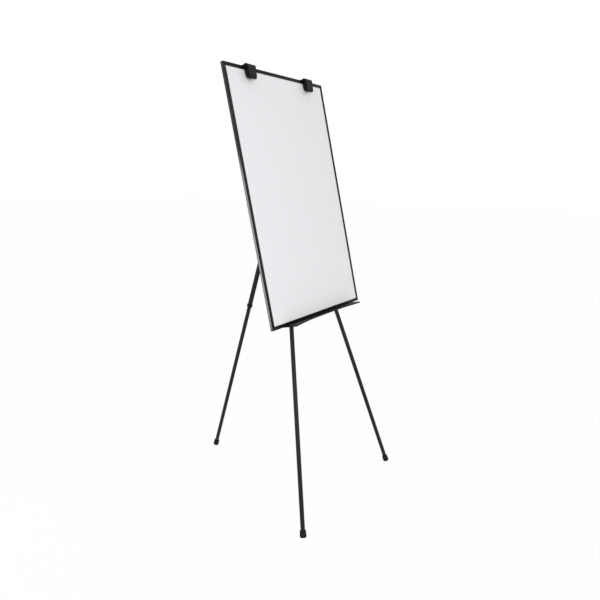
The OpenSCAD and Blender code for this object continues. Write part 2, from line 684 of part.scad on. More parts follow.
module jaw_outline() {
    n0 = -jaw_front;
    translate([-clip_pin_n, -clip_pin_v]) circle(r = jaw_top_r);
    translate([n0, -jaw_l + jaw_round]) square([jaw_front - jaw_gap, jaw_l - jaw_round - clip_pin_v]);
    intersection() {
        translate([-jaw_gap - jaw_round, -jaw_l + jaw_round]) circle(r = jaw_round, $fn = 64);
        translate([n0, -jaw_l]) square([jaw_front, jaw_round + 1]);
    }
    translate([n0, -jaw_l + 1]) square([jaw_front - jaw_gap - jaw_round, jaw_round]);
}
module clip_jaw() color(black_moulded) difference() {
    along_x(clip_w) jaw_outline();
    // Inside, open towards the board above the pad's seat
    along_x(clip_w - 2 * jaw_wall) {
        translate([-clip_pin_n, -clip_pin_v]) circle(r = jaw_top_r - jaw_wall);
        translate([-jaw_front + jaw_wall, -jaw_l + jaw_seat])
            square([jaw_front, jaw_l - jaw_seat - clip_pin_v]);
        translate([-jaw_front + jaw_wall, -jaw_l + jaw_wall])
            square([jaw_front - jaw_gap - jaw_wall - 2 * pad_deep, jaw_seat]);
        translate([-clip_pin_n, -clip_pin_v]) {
            rotate(jaw_slot) square(2 * jaw_top_r);
            square(2 * jaw_top_r);
        }
    }
    translate([0, -clip_pin_n, -clip_pin_v]) rotate([0, 0, 90])
        rod_y(clip_pin_r + run_gap, -clip_w, clip_w);
    translate([-pad_w / 2, -jaw_gap - pad_deep, pad_low]) cube([pad_w, jaw_gap + pad_deep + 1, pad_h]);
}
module clip_pad() color(black_rubber) translate([-pad_w / 2, -jaw_gap - pad_deep, pad_low])
    cube([pad_w, jaw_gap + pad_deep - pad_gap, pad_h]);

// Torsion spring: a coil round the pin with one arm on the skirt and one on the jaw
function coil_point(i) = let (a = i * 360 / spring_steps)
    [-spring_turns * spring_pitch / 2 + i * spring_pitch / spring_steps,
     spring_coil_r * cos(a), spring_coil_r * sin(a)];
function ring_at(p, t) = let (
        u = abs(t[0]) < 0.9 ? cross(t, [1, 0, 0]) : cross(t, [0, 0, 1]),
        a = u / norm(u), b = cross(t / norm(t), a))
    [for (k = [0:spring_ring - 1]) p + spring_wire / 2
        * (a * cos(k * 360 / spring_ring) + b * sin(k * 360 / spring_ring))];
module clip_spring() color(steel) translate([0, -clip_pin_n, -clip_pin_v]) {
    count = spring_turns * spring_steps;
    path = concat([[coil_point(0)[0], rear_arm[0], rear_arm[1]]], [for (i = [0:count]) coil_point(i)],
                  [[coil_point(count)[0], front_arm[0], front_arm[1]]]);
    last = len(path) - 1;
    rings = [for (i = [0:last]) ring_at(path[i],
        path[min(i + 1, last)] - path[max(i - 1, 0)])];
    polyhedron(points = [for (r = rings) each r],
        faces = concat(
            [for (i = [0:last - 1], k = [0:spring_ring - 1], half = [0, 1])
                let (n = (k + 1) % spring_ring, a = i * spring_ring, b = a + spring_ring)
                half == 0 ? [a + k, b + k, b + n] : [a + k, b + n, a + n]],
            [[for (k = [0:spring_ring - 1]) k]],
            [[for (k = [spring_ring - 1:-1:0]) last * spring_ring + k]]));
}

frame_rail_top();
frame_rail_bottom();
frame_rail_side(-1);  // frame_rail_left
frame_rail_side(1);  // frame_rail_right
corner_keys();
writing_sheet();
board_core();
back_sheet();
pen_tray();
tray_screws();
mounting_plate();
plate_screws();
tripod_head();
head_screws();
front_pivot_bolts();
front_pivot_nuts();
rear_pivot_bolt();
rear_pivot_nut();
leg_keeper(-1);  // leg_keeper_left
leg_keeper(1);  // leg_keeper_right
keeper_screws();
front_leg_frame(-1) leg_eye();  // front_left_leg_eye
front_leg_frame(-1) upper_tube();  // front_left_upper_tube
front_leg_frame(-1) collar();  // front_left_collar
front_leg_frame(-1) lock_stud(front_ring_s);  // front_left_lock_stud
front_leg_frame(-1) lock_expander(front_ring_s);  // front_left_lock_expander
front_leg_frame(-1) lower_tube(front_ring_s);  // front_left_lower_tube
front_foot(-1);  // front_left_foot
front_leg_frame(1) leg_eye();  // front_right_leg_eye
front_leg_frame(1) upper_tube();  // front_right_upper_tube
front_leg_frame(1) collar();  // front_right_collar
front_leg_frame(1) lock_stud(front_ring_s);  // front_right_lock_stud
front_leg_frame(1) lock_expander(front_ring_s);  // front_right_lock_expander
front_leg_frame(1) lower_tube(front_ring_s);  // front_right_lower_tube
front_foot(1);  // front_right_foot
rear_leg_frame() rotate([0, 0, 90]) leg_eye();  // rear_leg_eye
rear_leg_frame() upper_tube();  // rear_upper_tube
rear_leg_frame() collar();  // rear_collar
rear_leg_frame() lock_stud(rear_ring_s);  // rear_lock_stud
rear_leg_frame() lock_expander(rear_ring_s);  // rear_lock_expander
rear_leg_frame() lower_tube(rear_ring_s);  // rear_lower_tube
rear_foot();
clip_frame(-1) clip_saddle();  // clip_left_saddle
clip_frame(-1) clip_pin();  // clip_left_pin
clip_frame(-1) clip_spring();  // clip_left_spring
clip_frame(-1) clip_jaw();  // clip_left_jaw
clip_frame(-1) clip_pad();  // clip_left_pad
clip_frame(1) clip_saddle();  // clip_right_saddle
clip_frame(1) clip_pin();  // clip_right_pin
clip_frame(1) clip_spring();  // clip_right_spring
clip_frame(1) clip_jaw();  // clip_right_jaw
clip_frame(1) clip_pad();  // clip_right_pad
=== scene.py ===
import json
import math

import bmesh
import bpy
from mathutils import Matrix, Vector


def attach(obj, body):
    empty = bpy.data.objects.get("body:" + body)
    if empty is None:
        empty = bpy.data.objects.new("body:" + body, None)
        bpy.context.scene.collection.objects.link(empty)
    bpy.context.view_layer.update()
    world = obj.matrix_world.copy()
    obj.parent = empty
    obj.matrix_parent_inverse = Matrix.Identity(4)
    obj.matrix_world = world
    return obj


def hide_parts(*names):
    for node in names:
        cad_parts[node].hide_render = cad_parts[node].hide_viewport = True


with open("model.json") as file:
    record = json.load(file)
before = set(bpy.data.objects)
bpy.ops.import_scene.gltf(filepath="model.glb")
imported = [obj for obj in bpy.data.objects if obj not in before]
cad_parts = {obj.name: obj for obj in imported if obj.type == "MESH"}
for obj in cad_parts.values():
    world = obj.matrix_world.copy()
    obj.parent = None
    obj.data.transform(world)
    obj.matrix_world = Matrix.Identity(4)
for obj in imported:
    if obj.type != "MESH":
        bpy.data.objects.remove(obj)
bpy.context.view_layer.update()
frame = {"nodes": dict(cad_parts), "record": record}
nodes = frame["nodes"]
mounts = {mount["name"]: mount for mount in frame["record"]["mounts"]}
joints = {joint["name"]: joint for joint in frame["record"]["behaviour"]["joints"]}
slotOf = {part["node"]: part["material_slot"] for part in frame["record"]["subparts"]}
print("frame loaded:", len(nodes), "nodes")


# Camera, as fitted to the board's corners, the feet and the legs
camera = {
    "place": (-1.7342, -1.2844, 1.2335),
    "yaw": 0.9740,       # radians, from straight back towards the right
    "pitch": 0.2249,     # radians down
    "roll": 0.0136,
    "focalPixels": 552.3,
    "imagePixels": 600,
    "sensor": 36.0,      # millimetres
}


def axesMatrix(origin, xAxis, yAxis, zAxis):
    turned = Matrix((xAxis, yAxis, zAxis)).transposed().to_4x4()
    return Matrix.Translation(origin) @ turned


def addCamera(c):
    forward = Vector((math.sin(c["yaw"]) * math.cos(c["pitch"]),
                      math.cos(c["yaw"]) * math.cos(c["pitch"]), -math.sin(c["pitch"])))
    level = Vector((math.cos(c["yaw"]), -math.sin(c["yaw"]), 0))
    upright = level.cross(forward)
    right = level * math.cos(c["roll"]) + upright * math.sin(c["roll"])
    up = -level * math.sin(c["roll"]) + upright * math.cos(c["roll"])
    bpy.ops.object.camera_add()
    eye = bpy.context.object
    eye.name = "photoCamera"
    eye.matrix_world = axesMatrix(Vector(c["place"]), right, up, -forward)
    eye.data.sensor_width = c["sensor"]
    eye.data.lens = c["focalPixels"] * c["sensor"] / c["imagePixels"]
    eye.data.clip_start = 0.05
    bpy.context.scene.camera = eye


addCamera(camera)
print("camera placed")


# Places to model in, each in millimetres: the board, the tripod head, the legs and the clips
mm = Matrix.Scale(0.001, 4)
acrossBoard = Vector((1, 0, 0))
outOfBoard = Vector(mounts["magnetic_face"]["axis"]).normalized()
upBoard = outOfBoard.cross(acrossBoard)
boardMiddle = 450    # the face mount's height above the board's lower edge
clipAcross = 176     # a clip's distance from the board's middle
boardTop = 900
smoothAngle = 38     # degrees, sharper edges stay sharp


def boardPlace(across=0, up=0):
    origin = Vector(mounts["magnetic_face"]["pos_m"]) + acrossBoard * across * 0.001
    return axesMatrix(origin + upBoard * (up - boardMiddle) * 0.001, acrossBoard, -outOfBoard, upBoard) @ mm


def legPlace(leg):
    upLeg = Vector(joints[leg + "_extend"]["axis"]).normalized()
    bolt = Vector(joints[leg + "_fold"]["axis"]).normalized()
    if leg == "rear":
        return axesMatrix(Vector(joints["rear_fold"]["pos_m"]), -bolt, upLeg.cross(-bolt), upLeg) @ mm
    backwards = bolt if bolt.y > 0 else -bolt
    return axesMatrix(Vector(joints[leg + "_fold"]["pos_m"]), backwards.cross(upLeg), backwards, upLeg) @ mm


def headPlace():
    backwards = Vector(joints["front_right_fold"]["axis"]).normalized()
    left, right = (Vector(joints[leg + "_fold"]["pos_m"]) for leg in ("front_left", "front_right"))
    return axesMatrix((left + right) / 2, acrossBoard, backwards, acrossBoard.cross(backwards)) @ mm


board = boardPlace()
head = headPlace()
legs = {leg: legPlace(leg) for leg in ("front_left", "front_right", "rear")}
clips = {side: boardPlace(sign * clipAcross, boardTop) for side, sign in (("left", -1), ("right", 1))}


# Modelling steps that every piece uses
def onlySelect(piece):
    if bpy.context.object and bpy.context.object.mode != "OBJECT":
        bpy.ops.object.mode_set(mode="OBJECT")
    bpy.ops.object.select_all(action="DESELECT")
    if piece:
        bpy.context.view_layer.objects.active = piece
        piece.select_set(True)


def named(name):
    piece = bpy.context.object
    piece.name = piece.data.name = name
    bpy.ops.object.transform_apply(location=True, rotation=True, scale=True)
    return piece


def addBlock(name, low, high):
    onlySelect(None)
    middle = [(a + b) / 2 for a, b in zip(low, high)]
    bpy.ops.mesh.primitive_cube_add(size=1, location=middle, scale=[b - a for a, b in zip(low, high)])
    return named(name)


def addRod(name, radius, start, end, sides=64):
    onlySelect(None)
    start, end = Vector(start), Vector(end)
    turn = (end - start).to_track_quat("Z", "Y").to_euler()
    bpy.ops.mesh.primitive_cylinder_add(vertices=sides, radius=radius, depth=(end - start).length,
                                        location=(start + end) / 2, rotation=turn)
    return named(name)


def edit(piece, mode="FACE"):
    onlySelect(piece)
    bpy.ops.object.mode_set(mode="EDIT")
    bpy.ops.mesh.select_mode(type=mode)
    bpy.ops.mesh.select_all(action="DESELECT")


def pickFaces(piece, test):
    bpy.ops.mesh.select_mode(type="FACE")
    bpy.ops.mesh.select_all(action="DESELECT")
    mesh = bmesh.from_edit_mesh(piece.data)
    for face in mesh.faces:
        if test(face.calc_center_median(), face.normal):
            face.select_set(True)
    bmesh.update_edit_mesh(piece.data)


def pickEdges(piece, test):
    bpy.ops.mesh.select_mode(type="EDGE")
    bpy.ops.mesh.select_all(action="DESELECT")
    mesh = bmesh.from_edit_mesh(piece.data)
    for edge in mesh.edges:
        if test(edge.verts[0].co, edge.verts[1].co):
            edge.select_set(True)
    bmesh.update_edit_mesh(piece.data)


def bevelEdges(piece, test, width, segments):
    pickEdges(piece, test)
    bpy.ops.mesh.bevel(offset=width, segments=segments, affect="EDGES")


def cutAcross(place, normal, keepAll=True):
    bpy.ops.mesh.select_all(action="SELECT")
    bpy.ops.mesh.bisect(plane_co=place, plane_no=normal, use_fill=not keepAll, clear_outer=not keepAll)


def extrude(move):
    bpy.ops.mesh.extrude_region_move(TRANSFORM_OT_translate={"value": move})


def combine(piece, tool, operation="DIFFERENCE"):
    onlySelect(piece)
    change = piece.modifiers.new(operation.lower(), "BOOLEAN")
    change.operation = operation
    change.object = tool
    change.solver = "EXACT"
    bpy.ops.object.modifier_apply(modifier=change.name)
    bpy.data.objects.remove(tool, do_unlink=True)
    return piece


def soften(piece, width, segments=2, angle=35):
    onlySelect(piece)
    change = piece.modifiers.new("softEdges", "BEVEL")
    change.width = width
    change.segments = segments
    change.limit_method = "ANGLE"
    change.angle_limit = math.radians(angle)
    bpy.ops.object.modifier_apply(modifier=change.name)
    return piece


def duplicate(piece, name):
    twin = piece.copy()
    twin.data = piece.data.copy()
    twin.name = twin.data.name = name
    bpy.context.collection.objects.link(twin)
    return twin


def place(piece, where, body, slot, *replaced):
    piece.data.transform(where)
    if where.determinant() < 0:
        piece.data.flip_normals()
    onlySelect(piece)
    bpy.ops.object.shade_smooth_by_angle(angle=math.radians(smoothAngle))
    piece.data.materials.clear()
    piece.data.materials.append(finishes[slot])
    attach(piece, body)
    if replaced:
        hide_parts(*replaced)
    return piece


# Surface effects that several finishes share, as node groups with their own values in each
def addNode(tree, kind, **settings):
    made = tree.nodes.new(kind)
    for key, value in settings.items():
        setattr(made, key, value)
    return made


def newGroup(name, inputs, outputs):
    group = bpy.data.node_groups.new(name, "ShaderNodeTree")
    for label, kind, value in inputs:
        socket = group.interface.new_socket(label, in_out="INPUT", socket_type=kind)
        if value is not None:
            socket.default_value = value
    for label, kind in outputs:
        group.interface.new_socket(label, in_out="OUTPUT", socket_type=kind)
    return group, addNode(group, "NodeGroupInput"), addNode(group, "NodeGroupOutput")


def addRamp(tree, source, low, high):
    ramp = addNode(tree, "ShaderNodeMapRange", clamp=True, interpolation_type="SMOOTHSTEP")
    ramp.inputs["From Min"].default_value = low
    ramp.inputs["From Max"].default_value = high
    tree.links.new(source, ramp.inputs["Value"])
    return ramp.outputs["Result"]


# Grain: fine moulded or sprayed texture. Height for bump, Spots for colour
def makeGrain():
    group, given, result = newGroup("fineGrain", [("Vector", "NodeSocketVector", None),
                                                  ("Scale", "NodeSocketFloat", 1500),
                                                  ("Roughness", "NodeSocketFloat", 0.6)],
                                    [("Height", "NodeSocketFloat"), ("Spots", "NodeSocketFloat")])
    links = group.links
    noise = addNode(group, "ShaderNodeTexNoise")
    noise.inputs["Detail"].default_value = 3
    cells = addNode(group, "ShaderNodeTexVoronoi", feature="SMOOTH_F1")
    for texture in (noise, cells):
        links.new(given.outputs["Vector"], texture.inputs["Vector"])
        links.new(given.outputs["Scale"], texture.inputs["Scale"])
    links.new(given.outputs["Roughness"], noise.inputs["Roughness"])
    both = addNode(group, "ShaderNodeMath", operation="MULTIPLY")
    links.new(noise.outputs["Fac"], both.inputs[0])
    links.new(cells.outputs["Distance"], both.inputs[1])
    links.new(both.outputs["Value"], result.inputs["Height"])
    links.new(addRamp(group, noise.outputs["Fac"], 0.45, 0.75), result.inputs["Spots"])
    return group


# Handling: broad smudges and dust that change the gloss a little
def makeHandling():
    group, given, result = newGroup("handling", [("Vector", "NodeSocketVector", None),
                                                 ("Scale", "NodeSocketFloat", 8),
                                                 ("Spread", "NodeSocketFloat", 0.5)],
                                    [("Smudge", "NodeSocketFloat"), ("Dust", "NodeSocketFloat")])
    links = group.links
    broad = addNode(group, "ShaderNodeTexNoise")
    broad.inputs["Detail"].default_value = 4
    broad.inputs["Distortion"].default_value = 0.6
    fine = addNode(group, "ShaderNodeTexNoise")
    fine.inputs["Detail"].default_value = 6
    finer = addNode(group, "ShaderNodeMath", operation="MULTIPLY")
    finer.inputs[1].default_value = 22
    for texture in (broad, fine):
        links.new(given.outputs["Vector"], texture.inputs["Vector"])
    links.new(given.outputs["Scale"], broad.inputs["Scale"])
    links.new(given.outputs["Scale"], finer.inputs[0])
    links.new(finer.outputs["Value"], fine.inputs["Scale"])
    smudge = addRamp(group, broad.outputs["Fac"], 0.42, 0.68)
    speck = addRamp(group, fine.outputs["Fac"], 0.6, 0.72)
    amount = addNode(group, "ShaderNodeMath", operation="MULTIPLY")
    links.new(speck, amount.inputs[0])
    links.new(given.outputs["Spread"], amount.inputs[1])
    links.new(smudge, result.inputs["Smudge"])
    links.new(amount.outputs["Value"], result.inputs["Dust"])
    return group


# Brushing: fine lines along one direction, from stretched noise
def makeBrushing():
    group, given, result = newGroup("brushing", [("Vector", "NodeSocketVector", None),
                                                 ("Scale", "NodeSocketFloat", 900)],
                                    [("Height", "NodeSocketFloat")])
    links = group.links
    noise = addNode(group, "ShaderNodeTexNoise")
    noise.inputs["Detail"].default_value = 2
    links.new(given.outputs["Vector"], noise.inputs["Vector"])
    links.new(given.outputs["Scale"], noise.inputs["Scale"])
    links.new(noise.outputs["Fac"], result.inputs["Height"])
    return group


effects = {"grain": makeGrain(), "handling": makeHandling(), "brushing": makeBrushing()}


# Finishes: every one has its colours, gloss, grain and handling in one dictionary
coatRoughness = 0.16
bumpLift, bumpDeep = 4, 0.0001    # times the finish's own bump, and metres
finishSizes = {
    # The black frame's last three sizes place a painted reflection: a glossy stripe on the frame's outer sides, where
    # the real frame has one finish all over
    "black_anodised": {"name": "blackAnodised", "colour": (0.0060, 0.0062, 0.0075), "other": (0.010, 0.0103, 0.012),
                       "rough": 0.26, "rougher": 0.36, "grainScale": 2600, "bump": 0.03, "specular": 0.1,
                       "handling": 7, "dust": 0.1, "reflectionStripeBeyond": 0.2998, "reflectionStripeFrom": -0.0002, "reflectionStripeTo": 0.0062},
    "white_enamel": {"name": "whiteEnamel", "colour": (0.82, 0.828, 0.847), "other": (0.805, 0.813, 0.832),
                     "rough": 0.28, "rougher": 0.38, "grainScale": 420, "bump": 0.02, "specular": 0.3,
                     "handling": 3.2, "dust": 0.12, "coat": 0.1},
    "core_board": {"name": "coreBoard", "colour": (0.5, 0.42, 0.32), "other": (0.38, 0.31, 0.23),
                   "rough": 0.85, "rougher": 0.95, "grainScale": 700, "bump": 0.25, "specular": 0.3,
                   "handling": 20, "dust": 0.6},
    "black_tube": {"name": "blackPowderCoat", "colour": (0.016, 0.016, 0.018), "other": (0.021, 0.021, 0.0235),
                   "rough": 0.28, "rougher": 0.38, "grainScale": 1100, "bump": 0.06, "specular": 0.1,
                   "handling": 9, "dust": 0.08},
    "black_moulding": {"name": "blackMoulding", "colour": (0.0048, 0.0048, 0.0056), "other": (0.009, 0.009, 0.0105),
                       "rough": 0.3, "rougher": 0.42, "grainScale": 1900, "bump": 0.1, "specular": 0.12,
                       "handling": 14, "dust": 0.15},
    "black_rubber": {"name": "blackRubber", "colour": (0.0085, 0.0085, 0.0095), "other": (0.017, 0.017, 0.018),
                     "rough": 0.68, "rougher": 0.82, "grainScale": 1400, "bump": 0.2, "specular": 0.12,
                     "handling": 30, "dust": 0.7},
    "nylon": {"name": "naturalNylon", "colour": (0.68, 0.67, 0.6), "other": (0.6, 0.59, 0.52),
              "rough": 0.45, "rougher": 0.6, "grainScale": 1500, "bump": 0.08, "specular": 0.4,
              "handling": 18, "dust": 0.3},
}
metalSizes = {
    "galvanised_sheet": {"name": "galvanisedSheet", "colour": (0.47, 0.48, 0.5), "other": (0.405, 0.415, 0.43),
                         "rough": 0.42, "rougher": 0.5, "spangle": 75, "bump": 0.03, "handling": 5},
    "zinc_steel": {"name": "zincPlatedSteel", "colour": (0.6, 0.61, 0.64), "other": (0.42, 0.42, 0.41),
                   "rough": 0.26, "rougher": 0.45, "spangle": 900, "bump": 0.05, "handling": 60},
    "spring_steel": {"name": "brightSteel", "colour": (0.42, 0.42, 0.44), "other": (0.3, 0.3, 0.31),
                     "rough": 0.3, "rougher": 0.48, "spangle": 300, "bump": 0.06, "handling": 25},
}


def startFinish(s, metallic):
    made = bpy.data.materials.new(s["name"])
    made.use_nodes = True
    tree = made.node_tree
    shader = tree.nodes["Principled BSDF"]
    shader.inputs["Metallic"].default_value = metallic
    where = addNode(tree, "ShaderNodeTexCoord").outputs["Object"]
    return made, tree, shader, where


def addEffect(tree, effect, where, **values):
    made = addNode(tree, "ShaderNodeGroup", node_tree=effects[effect])
    for label, value in values.items():
        made.inputs[label].default_value = value
    tree.links.new(where, made.inputs["Vector"])
    return made


def mixColours(tree, mask, first, second):
    mixed = addNode(tree, "ShaderNodeMix", data_type="RGBA")
    for socket, colour in ((mixed.inputs[6], first), (mixed.inputs[7], second)):
        if isinstance(colour, tuple):
            socket.default_value = (*colour, 1)
        else:
            tree.links.new(colour, socket)
    tree.links.new(mask, mixed.inputs[0])
    return mixed.outputs[2]


def mixValues(tree, mask, low, high):
    mixed = addNode(tree, "ShaderNodeMapRange")
    mixed.inputs["To Min"].default_value = low
    mixed.inputs["To Max"].default_value = high
    tree.links.new(mask, mixed.inputs["Value"])
    return mixed.outputs["Result"]


def addBump(tree, shader, height, strength, deep):
    bump = addNode(tree, "ShaderNodeBump")
    bump.inputs["Strength"].default_value = strength
    bump.inputs["Distance"].default_value = deep
    tree.links.new(height, bump.inputs["Height"])
    tree.links.new(bump.outputs["Normal"], shader.inputs["Normal"])


def makeFinish(s):
    made, tree, shader, where = startFinish(s, 0)
    grain = addEffect(tree, "grain", where, Scale=s["grainScale"])
    worn = addEffect(tree, "handling", where, Scale=s["handling"], Spread=s["dust"])
    colour = mixColours(tree, grain.outputs["Spots"], s["colour"], s["other"])
    dusty = tuple(min(0.8, c * 1.9 + 0.004) if c < 0.2 else c * 0.97 for c in s["other"])
    colour = mixColours(tree, worn.outputs["Dust"], colour, dusty)
    tree.links.new(colour, shader.inputs["Base Color"])
    tree.links.new(mixValues(tree, worn.outputs["Smudge"], s["rough"], s["rougher"]), shader.inputs["Roughness"])
    shader.inputs["Specular IOR Level"].default_value = s["specular"]
    shader.inputs["Coat Weight"].default_value = s.get("coat", 0)
    shader.inputs["Coat Roughness"].default_value = coatRoughness
    # A glossy stripe on the frame's outer sides, in metres across and into the board. It stands in for a strip
    # light's reflection in the photograph: the real frame has one finish all over
    if "reflectionStripeBeyond" in s:
        apart = addNode(tree, "ShaderNodeSeparateXYZ")
        tree.links.new(where, apart.inputs["Vector"])
        across = addNode(tree, "ShaderNodeMath", operation="ABSOLUTE")
        tree.links.new(apart.outputs["X"], across.inputs[0])
        outward = addNode(tree, "ShaderNodeVectorMath", operation="DOT_PRODUCT")
        tree.links.new(where, outward.inputs[0])
        outward.inputs[1].default_value = outOfBoard
        sheetFace = outOfBoard.dot(Vector(mounts["magnetic_face"]["pos_m"]))
        reflectionStripe = addRamp(tree, across.outputs["Value"], s["reflectionStripeBeyond"] - 0.0005, s["reflectionStripeBeyond"])
        for edge, soft in ((-s["reflectionStripeTo"], 0.0006), (-s["reflectionStripeFrom"], -0.0006)):
            inside = addRamp(tree, outward.outputs["Value"], sheetFace + edge - soft, sheetFace + edge + soft)
            both = addNode(tree, "ShaderNodeMath", operation="MULTIPLY")
            tree.links.new(reflectionStripe, both.inputs[0])
            tree.links.new(inside, both.inputs[1])
            reflectionStripe = both.outputs["Value"]
        tree.links.new(reflectionStripe, shader.inputs["Coat Weight"])
    addBump(tree, shader, grain.outputs["Height"], s["bump"] * bumpLift, bumpDeep)
    return made


def makeMetal(s):
    made, tree, shader, where = startFinish(s, 1)
    crystals = addNode(tree, "ShaderNodeTexVoronoi")
    crystals.inputs["Scale"].default_value = s["spangle"]
    bent = addNode(tree, "ShaderNodeTexNoise")
    bent.inputs["Scale"].default_value = s["spangle"] * 1.7
    tree.links.new(where, bent.inputs["Vector"])
    shift = addNode(tree, "ShaderNodeVectorMath", operation="MULTIPLY_ADD")
    shift.inputs[1].default_value = [0.35 / s["spangle"]] * 3
    tree.links.new(bent.outputs["Color"], shift.inputs[0])
    tree.links.new(where, shift.inputs[2])
    tree.links.new(shift.outputs["Vector"], crystals.inputs["Vector"])
    worn = addEffect(tree, "handling", where, Scale=s["handling"], Spread=0.4)
    lines = addEffect(tree, "brushing", where, Scale=s["spangle"] * 14)
    facet = addNode(tree, "ShaderNodeSeparateColor")
    tree.links.new(crystals.outputs["Color"], facet.inputs["Color"])
    colour = mixColours(tree, facet.outputs["Red"], s["colour"], s["other"])
    dull = tuple(c * 0.75 for c in s["other"])
    tree.links.new(mixColours(tree, worn.outputs["Dust"], colour, dull), shader.inputs["Base Color"])
    tree.links.new(mixValues(tree, facet.outputs["Green"], s["rough"], s["rougher"]), shader.inputs["Roughness"])
    addBump(tree, shader, lines.outputs["Height"], s["bump"] * bumpLift, bumpDeep)
    return made


finishes = {slot: makeFinish(sizes) for slot, sizes in finishSizes.items()}
finishes.update({slot: makeMetal(sizes) for slot, sizes in metalSizes.items()})
for name, node in nodes.items():
    node.data.materials.clear()
    node.data.materials.append(finishes[slotOf[name]])
print("materials made:", len(finishes))


# Frame rails: one long and one short, copied to the other side
rail = {
    "short": 600, "long": 900,
    "lip": 13, "front": -1.5, "slotBack": 7.3, "back": 8.5,
    "slotDepth": 6, "frontRound": 1.2, "rearRound": 1.2, "seam": 0.25,
    "spare": 30, "corner": 4, "cutSpare": 5, "cutLoose": 0.02,
}


def makeRail(name, length, r):
    half = length / 2
    piece = addBlock(name, (-half - r["spare"], r["front"], 0), (half + r["spare"], r["back"], r["lip"]))
    edit(piece)
    cutAcross((0, 0, 0), (0, 1, 0))
    cutAcross((0, r["slotBack"], 0), (0, 1, 0))
    pickFaces(piece, lambda at, n: n.z > 0.9 and 0 < at.y < r["slotBack"])
    extrude((0, 0, -r["slotDepth"]))
    for y, width in ((r["front"], r["frontRound"]), (r["back"], r["rearRound"])):
        bevelEdges(piece, lambda a, b: a.z < 0.01 and b.z < 0.01 and abs(a.y - y) + abs(b.y - y) < 0.01
                   and abs(a.x - b.x) > 1, width, 6)
    onlySelect(piece)
    high = r["lip"] * 3
    mitre = addBlock("mitre", (-half - 1, r["front"] - r["cutSpare"], -1), (half + 1, r["back"] + r["cutSpare"], high))
    edit(mitre)
    pickFaces(mitre, lambda at, n: n.z > 0.9)
    bpy.ops.transform.resize(value=((half - high) / (half + 1), 1, 1), center_override=(0, 0, 0))
    combine(piece, mitre, "INTERSECT")
    loose = r["cutLoose"]
    corners = addBlock("corners", (-half - loose, r["front"] - r["cutSpare"], -loose),
                       (half + loose, r["back"] + r["cutSpare"], high))
    edit(corners)
    bevelEdges(corners, lambda a, b: abs(a.y - b.y) > 1 and a.z < 1, r["corner"], 6)
    combine(piece, corners, "INTERSECT")
    return soften(piece, r["seam"])


def quarterTurn(side, across):
    return board @ Matrix.Translation((across, 0, boardMiddle)) @ Matrix.Rotation(math.radians(-90 * side), 4, "Y")


shortRail = makeRail("frameRailBottom", rail["short"], rail)
longRail = makeRail("frameRailLeft", rail["long"], rail)
topRail = duplicate(shortRail, "frameRailTop")
rightRail = duplicate(longRail, "frameRailRight")
place(shortRail, board, "board", "black_anodised", "frame_rail_bottom")
place(topRail, board @ Matrix.Translation((0, 0, boardTop)) @ Matrix.Scale(-1, 4, (0, 0, 1)), "board",
      "black_anodised", "frame_rail_top")
place(longRail, quarterTurn(-1, -rail["short"] / 2), "board", "black_anodised", "frame_rail_left")
place(rightRail, quarterTurn(1, rail["short"] / 2), "board", "black_anodised", "frame_rail_right")
print("frame rails modelled")


# Pen tray: a thin shelf under the bottom rail with a concave front and a raised rim
tray = {
    "halfLength": 230, "middle": -23, "ends": -52, "thick": 2, "back": 10.5,
    "rim": 3, "rimWidth": 2, "rimStart": -5.5, "corner": 8,
    "flangeFront": 8.5, "flange": 11, "edge": 0.5,
}


def makeTray(name, t):
    sag = t["middle"] - t["ends"]
    radius = (t["halfLength"] ** 2 + sag ** 2) / (2 * sag)
    piece = addBlock(name, (-t["halfLength"], t["ends"] - 5, -t["thick"]), (t["halfLength"], t["back"], 0))
    combine(piece, addRod("hollow", radius, (0, t["middle"] - radius, -9), (0, t["middle"] - radius, 9), 720))
    edit(piece)
    bevelEdges(piece, lambda a, b: abs(a.z - b.z) > 1 and a.y < t["ends"] + 1
               and abs(a.x) > t["halfLength"] - 0.01, t["corner"], 8)
    cutAcross((0, t["rimStart"], 0), (0, 1, 0))
    cutAcross((0, t["flangeFront"], 0), (0, 1, 0))
    pickFaces(piece, lambda at, n: n.z > 0.9 and at.y > t["flangeFront"])
    extrude((0, 0, t["flange"]))
    pickFaces(piece, lambda at, n: n.z > 0.9 and at.z < 0.1 and at.y < t["rimStart"])
    bpy.ops.mesh.inset(thickness=t["rimWidth"])
    pickFaces(piece, lambda at, n: n.z > 0.9 and abs(at.z) < 0.1 and at.y < t["rimStart"]
              and not (abs(at.x) < 1 and at.y > t["middle"] + 3))
    extrude((0, 0, t["rim"]))
    return soften(piece, t["edge"], 3)


place(makeTray("penTray", tray), board, "board", "black_moulding", "pen_tray")
print("pen tray modelled")


# Screws: a pan head with a cross recess, modelled once in each size
screws = {
    "tray": {"shank": 1.5, "head": 2.9, "high": 1.7, "into": 3.3},
    "plate": {"shank": 2, "head": 4, "high": 2.2, "into": 7},
    "head": {"shank": 2, "head": 4, "high": 2.2, "into": 11},
    "keeper": {"shank": 1.5, "head": 2.9, "high": 1.7, "into": 7.5},
}


def makeScrew(name, s):
    piece = addRod(name, s["head"], (0, 0, 0), (0, s["high"], 0), 32)
    edit(piece)
    bevelEdges(piece, lambda a, b: a.y > s["high"] - 0.01 and b.y > s["high"] - 0.01, s["high"] * 0.55, 4)
    pickFaces(piece, lambda at, n: n.y < -0.9)
    bpy.ops.mesh.inset(thickness=s["head"] - s["shank"])
    extrude((0, -s["into"], 0))
    long, wide = s["head"] * 0.62, s["head"] * 0.13
    for half in ((long, wide), (wide, long)):
        slot = addBlock("slot", (-half[0], s["high"] * 0.4, -half[1]), (half[0], s["high"] + 1, half[1]))
        combine(piece, slot)
    return piece


screwMasters = {part: makeScrew(part + "ScrewMaster", sizes) for part, sizes in screws.items()}


